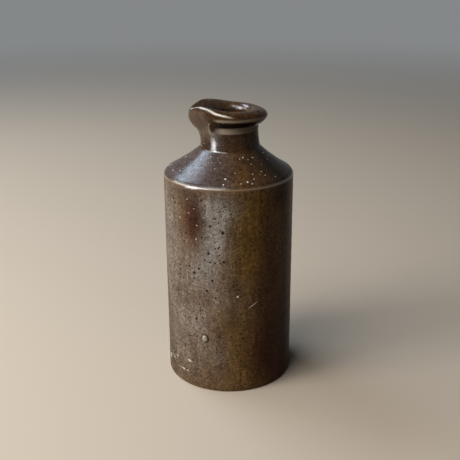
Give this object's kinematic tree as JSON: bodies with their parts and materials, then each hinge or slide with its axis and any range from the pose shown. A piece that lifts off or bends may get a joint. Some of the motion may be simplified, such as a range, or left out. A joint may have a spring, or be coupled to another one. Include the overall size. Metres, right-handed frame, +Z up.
{
  "type": "stoneware pouring bottle",
  "caption": "Brown salt-glazed stoneware bottle with a straight body, sloping shoulder, short neck, pulled pouring lip and a driven cork stopper.",
  "frame": {"origin": "centre of the foot ring, on the surface that the bottle stands on", "axes": "+Z up along the body, -X the way the spout points, +X towards the back of the lip"},
  "size_m": [0.07, 0.07, 0.1534],
  "materials": {
    "body_glaze": "satin",
    "neck_glaze": "gloss",
    "bare_clay": "matte",
    "cork": "matte"
  },
  "bodies": {
    "bottle": {"body_wall": "body_glaze", "floor_disc": "bare_clay", "shoulder": "body_glaze", "neck": "neck_glaze", "pouring_lip": "neck_glaze"},
    "cork": {"cork_stopper": "cork"}
  },
  "joints": [
    {"name": "cork_pull", "type": "slide", "parent": "bottle", "child": "cork", "axis": [0, 0, 1], "range_m": [0, 0.045]}
  ]
}
